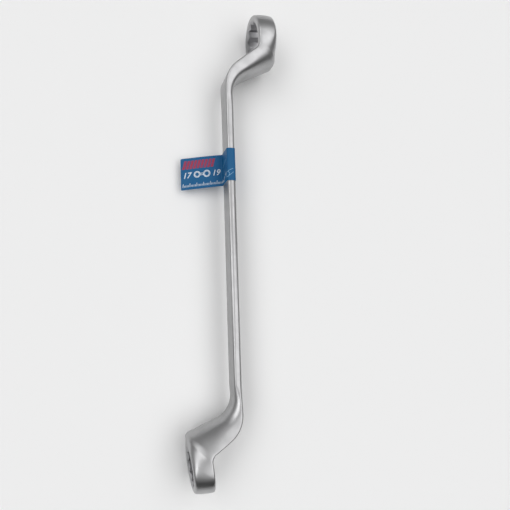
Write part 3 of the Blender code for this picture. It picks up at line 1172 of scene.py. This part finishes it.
@dataclass
class LabelPrint:
    """Generic print on the label: slanted bars, both socket sizes, an outline spanner and a scale.

    A place here is a run along the strip and a height across it. Lengths are in millimetres.
    """

    label: LabelFilm
    bars: MarkRow = MarkRow(count=9, spacing=1.98, thick=1.5, tall=4.7, tallest=4.7, every=1, slant=0.28)
    bars_at: Pair = (0.8, 2.7)
    scale: MarkRow = MarkRow(count=35, spacing=0.76, thick=0.3, tall=1.1, tallest=2.0, every=5, slant=0.12)
    scale_at: Pair = (0.9, -7.5)
    lower_scale_count: int = 28
    lower_scale_at: float = 1.0
    lower_side_at: float = 0.6
    numbers: tuple[tuple[str, float], ...] = (("17", 0.9), ("19", 17.3))
    number_size: float = 4.6
    number_shear: float = 0.25
    number_weight: float = 0.012
    number_foot: float = -2.4
    row_middle: float = -0.8
    rings: tuple[Pair, ...] = ((9.1, 2.2), (14.5, 2.5))
    ring_past_hexagon: float = 0.55
    ring_stroke: float = 0.42
    hexagon_stroke: float = 0.3
    shank_run: Pair = (10.85, 12.6)
    shank_sides: Pair = (-0.45, 0.45)
    shank_stroke: float = 0.34
    front_at: Pair = (-0.6, -5.4)
    front_hexagon: float = 2.7
    front_lines: tuple[Line, ...] = (((0.5, 1.6), (3.4, 3.0)), ((1.3, -0.9), (3.7, 1.1)))
    front_stroke: float = 0.28
    side_line: Line = ((2.0, 0.8), (9.5, 3.6))
    side_stroke: float = 0.4
    dash_count: int = 3
    dash_at: Pair = (1.6, -7.4)
    dash_step: Pair = (3.0, 1.3)
    dash_reach: Pair = (2.0, 0.9)
    dash_stroke: float = 0.7
    lift: float = 0.04
    curve_steps: int = 6
    outline_steps: int = 96
    stroke_steps: int = 24

    def place(
        self, name: str, mesh: bpy.types.Mesh, finish: bpy.types.Material, run: float, height: float
    ) -> None:
        """Lays a flat mesh of marks on the label and dresses it.

        Args:
            name: The piece's name.
            mesh: The marks, with run on X, height on Y and lift on Z.
            finish: Their ink.
            run: Where their X starts along the strip.
            height: Where their Y starts across it.
        """
        flat = np.zeros(len(mesh.vertices) * 3)
        mesh.vertices.foreach_get("co", flat)
        marks = flat.reshape(-1, 3) + np.array((run, height, self.lift / 4))
        mesh.vertices.foreach_set("co", BENCH.points(self.label.places(marks)).ravel())
        mesh.materials.clear()
        mesh.materials.append(finish)
        tidy_shell(mesh)
        mesh.name = name
        piece = link(bpy.data.objects.new(name, mesh))
        self.label.bend_with_flag(piece)

    def number(self, text: str) -> bpy.types.Mesh:
        """A number as a flat mesh of printed figures.

        Args:
            text: Its figures.

        Returns:
            The mesh.
        """
        curve = bpy.data.curves.new("number", "FONT")
        curve.body = text
        curve.size = self.number_size
        curve.shear = self.number_shear
        curve.offset = self.number_size * self.number_weight
        curve.extrude = self.lift / 2
        curve.resolution_u = self.curve_steps
        carrier = link(bpy.data.objects.new("number", curve))
        mesh = seen_mesh(carrier)
        bpy.data.objects.remove(carrier)
        return mesh

    def band(self, name: str, pairs: list[tuple[np.ndarray, np.ndarray]], closed: bool) -> bpy.types.Mesh:
        """A flat band of ink between two edges.

        Args:
            name: The mesh's name.
            pairs: Points across from each other on its two edges.
            closed: Whether its end meets its start.

        Returns:
            The band's mesh.
        """
        lifts = (-self.lift / 2, self.lift / 2)
        points = [(*spot, lift) for pair in pairs for spot in pair for lift in lifts]
        last = len(pairs) - 1
        faces = [] if closed else [(0, 1, 3, 2), (4 * last, 4 * last + 1, 4 * last + 3, 4 * last + 2)]
        for i in range(len(pairs) if closed else last):
            a, b = 4 * i, 4 * ((i + 1) % len(pairs))
            for p, q in ((0, 1), (1, 3), (3, 2), (2, 0)):
                faces.append((a + p, a + q, b + q, b + p))
        mesh = bpy.data.meshes.new(name)
        mesh.from_pydata(points, [], faces)
        return mesh

    def outline(self, radius_at: Callable[[float], float], stroke: float) -> bpy.types.Mesh:
        """A closed outline stroke about its centre.

        Args:
            radius_at: Distance from the centre to the stroke's middle at an angle.
            stroke: The stroke's width.

        Returns:
            The stroke as a flat mesh.
        """
        pairs = []
        for i in range(self.outline_steps):
            angle = 2 * pi * i / self.outline_steps
            heading = np.array((cos(angle), sin(angle)))
            radius = radius_at(angle)
            pairs.append((heading * (radius - stroke / 2), heading * (radius + stroke / 2)))
        return self.band("outline", pairs, closed=True)

    def stroke(
        self, start: Pair, end: Pair, width: float
    ) -> bpy.types.Mesh:
        """A straight stroke as a flat mesh, with enough steps to follow a bend.

        Args:
            start: Where its middle line starts.
            end: Where that ends.
            width: Its width.

        Returns:
            The mesh.
        """
        begin, whole = np.array(start), np.array(end) - np.array(start)
        heading = whole / np.linalg.norm(whole)
        side = np.array((-heading[1], heading[0])) * width / 2
        spots = [begin + whole * i / self.stroke_steps for i in range(self.stroke_steps + 1)]
        return self.band("stroke", [(spot - side, spot + side) for spot in spots], closed=False)

    def hexagon(self, flats: float) -> bpy.types.Mesh:
        """A hexagon's outline as a flat mesh, from its size across flats."""
        return self.outline(lambda angle: flats / 2 / cos((angle % (pi / 3)) - pi / 6), self.hexagon_stroke)

    def build(self) -> None:
        """Prints both sides of the flag, then the front and the near side of the wrap."""
        red = self.label.stock.ink("label_red", Ink.RED.value)
        white = self.label.stock.ink("label_white", Ink.WHITE.value)
        pale = self.label.stock.ink("label_pale_blue", Ink.PALE_BLUE.value)
        lower_root = self.label.lower_root
        for side, start in (("upper", 0.0), ("lower", lower_root + self.lower_side_at)):
            self.print_flag(side, start, red, white)
        short_scale = replace(self.scale, count=self.lower_scale_count)
        for side, scale, run in (
            ("upper", self.scale, self.scale_at[0]),
            ("lower", short_scale, lower_root + self.lower_scale_at),
        ):
            marks = scale.flat_mesh(white, self.lift)
            self.place(f"label_scale_{side}", marks, white, run, self.scale_at[1])
        self.print_front(pale)
        self.print_near_side(pale, white)

    def print_flag(
        self, side: str, start: float, red: bpy.types.Material, white: bpy.types.Material
    ) -> None:
        """Prints the slanted bars and the row of the two sizes on one side of the flag.

        Args:
            side: The side's name.
            start: Where the side starts along the strip.
            red: The bars' ink.
            white: The row's ink.
        """
        bars = self.bars.flat_mesh(red, self.lift)
        self.place(f"label_bars_{side}", bars, red, start + self.bars_at[0], self.bars_at[1])
        for text, at in self.numbers:
            name = f"label_size_{text}_{side}"
            self.place(name, self.number(text), white, start + at, self.number_foot)
        for k, (at, flats) in enumerate(self.rings, start=1):
            ring = self.outline(lambda angle, r=flats / 2 + self.ring_past_hexagon: r, self.ring_stroke)
            self.place(f"label_ring_{k}_{side}", ring, white, start + at, self.row_middle)
            hexagon = self.hexagon(flats)
            self.place(f"label_hexagon_{k}_{side}", hexagon, white, start + at, self.row_middle)
        for k, height in enumerate(self.shank_sides, start=1):
            begin, end = ((run, height) for run in self.shank_run)
            line = self.stroke(begin, end, self.shank_stroke)
            self.place(f"label_shank_{k}_{side}", line, white, start, self.row_middle)

    def print_front(self, pale: bpy.types.Material) -> None:
        """Prints the outline of a ring and its shank on the front of the wrap.

        Args:
            pale: The outline's ink.
        """
        front = (self.label.path.marks[5] + self.label.path.marks[6]) / 2 + self.front_at[0]
        height = self.front_at[1]
        self.place("label_front_hexagon", self.hexagon(self.front_hexagon), pale, front, height)
        for k, (begin, end) in enumerate(self.front_lines, start=1):
            line = self.stroke(begin, end, self.front_stroke)
            self.place(f"label_front_line_{k}", line, pale, front, height)

    def print_near_side(self, pale: bpy.types.Material, white: bpy.types.Material) -> None:
        """Prints short slanted strokes on the side of the wrap that the flag hangs from.

        Args:
            pale: The long stroke's ink.
            white: The short strokes' ink.
        """
        root = self.label.upper_root
        self.place("label_side_line", self.stroke(*self.side_line, self.side_stroke), pale, root, 0.0)
        for k in range(self.dash_count):
            begin = np.array(self.dash_at) + k * np.array(self.dash_step)
            line = self.stroke(begin, begin + np.array(self.dash_reach), self.dash_stroke)
            self.place(f"label_side_mark_{k + 1}", line, white, root, 0.0)


@dataclass(frozen=True)
class PhotoCamera:
    """The photo's viewpoint, given as a turn and a shift of the spanner's frame before a pinhole camera."""

    focal_pixels: float = 492.69
    turn: tuple[float, float, float] = (-0.0935, 0.2826, 0.0336)
    shift: tuple[float, float, float] = (-13.0, 5.92, -269.41)
    frame_pixels: int = 510
    sensor_width: float = 36.0
    clip_start: float = 0.01

    def build(self) -> None:
        """Makes the camera and hands it to the scene."""
        about_x, about_y, about_z = self.turn
        turn = Matrix.Rotation(about_z, 4, "Z") @ Matrix.Rotation(about_x, 4, "X")
        turn = turn @ Matrix.Rotation(about_y, 4, "Y")
        seen = Matrix.Translation(self.shift) @ turn
        data = bpy.data.cameras.new("photo_camera")
        data.sensor_width = self.sensor_width
        data.lens = self.sensor_width * self.focal_pixels / self.frame_pixels
        data.clip_start = self.clip_start
        camera = link(bpy.data.objects.new("photo_camera", data))
        location, rotation, _ = (BENCH.matrix() @ seen.inverted()).decompose()
        camera.matrix_world = Matrix.LocRotScale(location, rotation, None)
        bpy.context.scene.camera = camera


@dataclass(frozen=True)
class SoftBox:
    """A large soft light: the direction of its middle, and its half angles across and along the bench.

    The half angles are in degrees. The softness is the share of them over which its edge fades.
    """

    towards: tuple[float, float, float]
    across: float
    along: float
    softness: float
    radiance: float

    def sides(self) -> tuple[Vector, Vector]:
        """Unit vectors across and along the light's own plane.

        Returns:
            The two vectors.
        """
        middle = Vector(self.towards).normalized()
        across = Vector((0.0, 1.0, 0.0)).cross(middle).normalized()
        return across, middle.cross(across)


class RoomLight(Wiring):
    """The world's light: a dim room, soft boxes overhead and a black board low at one end of the bench."""

    darkest = 0.01
    squareness = 4.0

    def __init__(self, walls: float, boxes: tuple[SoftBox, ...]) -> None:
        """Makes the room.

        Args:
            walls: The walls' radiance.
            boxes: The soft boxes. One with a negative radiance takes the walls' light away.
        """
        self.world = bpy.data.worlds.new("studio")
        self.world.use_nodes = True
        super().__init__(self.world.node_tree)
        self.direction = self.add("ShaderNodeTexCoord").outputs["Generated"]
        level: Value = walls
        for box in boxes:
            level = self.math("ADD", level, self.math("MULTIPLY", self.glow(box), box.radiance))
        background = self.nodes["Background"].inputs
        self.give(background["Color"], (1.0, 1.0, 1.0, 1.0))
        self.give(background["Strength"], self.math("MAXIMUM", level, self.darkest))

    def part_along(self, axis: Vector) -> bpy.types.NodeSocket:
        """How far the direction of view goes along an axis."""
        parts = {0: self.direction, 1: axis}
        return self.add("ShaderNodeVectorMath", parts, operation="DOT_PRODUCT").outputs["Value"]

    def glow(self, box: SoftBox) -> bpy.types.NodeSocket:
        """How much of a soft box a direction sees: 1 inside it and 0 outside, with a soft edge.

        Args:
            box: The soft box.

        Returns:
            The glow's socket.
        """
        off: Value = 0.0
        for axis, half in zip(box.sides(), (box.across, box.along)):
            share = self.math("DIVIDE", self.part_along(axis), sin(radians(half)))
            share = self.math("POWER", self.math("ABSOLUTE", share), self.squareness)
            off = self.math("ADD", off, share)
        reach = self.math("POWER", off, 1 / self.squareness)
        edge = (1.0 - box.softness, 1.0 + box.softness)
        inside = self.ranged(reach, edge, (1.0, 0.0), interpolation_type="SMOOTHSTEP")
        ahead = self.math("GREATER_THAN", self.part_along(Vector(box.towards).normalized()), 0.0)
        return self.math("MULTIPLY", inside, ahead)


@dataclass(frozen=True)
class Studio:
    """Pale bench top in a dim room: a soft light overhead, a narrower one and a black board at one end."""

    floor_colour: Colour = (0.92, 0.92, 0.92)
    floor_roughness: float = 0.9
    floor_size: float = 6.0
    walls: float = 0.30
    boxes: tuple[SoftBox, ...] = (
        SoftBox((0.36, 0.0, 0.933), across=19.0, along=34.0, softness=0.55, radiance=1.8),
        SoftBox((-0.58, 0.10, 0.81), across=14.0, along=32.0, softness=0.35, radiance=2.4),
        SoftBox((0.0, -1.0, 0.12), across=60.0, along=42.0, softness=0.3, radiance=-0.29),
    )

    def floor(self) -> None:
        """Makes the bench top."""
        half = self.floor_size / 2
        corners = np.array([(-half, -half, 0.0), (half, -half, 0.0), (half, half, 0.0), (-half, half, 0.0)])
        floor = mesh_object("bench_top", corners, [(0, 1, 2, 3)])
        finish = Shader("bench_top", self.floor_colour, self.floor_roughness).material
        floor.data.materials.append(finish)

    def build(self) -> None:
        """Makes the floor and lights the room."""
        self.floor()
        bpy.context.scene.world = RoomLight(self.walls, self.boxes).world


def main() -> None:
    """Builds the dressed spanner, its studio and its camera."""
    logging.basicConfig(level=logging.INFO, format="%(name)s: %(message)s")
    bpy.context.scene.view_settings.view_transform = "Standard"
    PhotoCamera().build()
    forging = SpannerForging(ends=(LARGE_END, SMALL_END), finish=SatinPlate())
    spanner = forging.build()
    forging.dress(spanner)
    LOG.info("spanner: %d faces", len(spanner.data.polygons))
    label = LabelFilm(stock=LabelStock(), forging=forging)
    film = label.build()
    label.dress(film)
    LOG.info("label film: %d faces", len(film.data.polygons))
    LabelPrint(label=label).build()
    Studio().build()


if __name__ == "__main__":
    main()
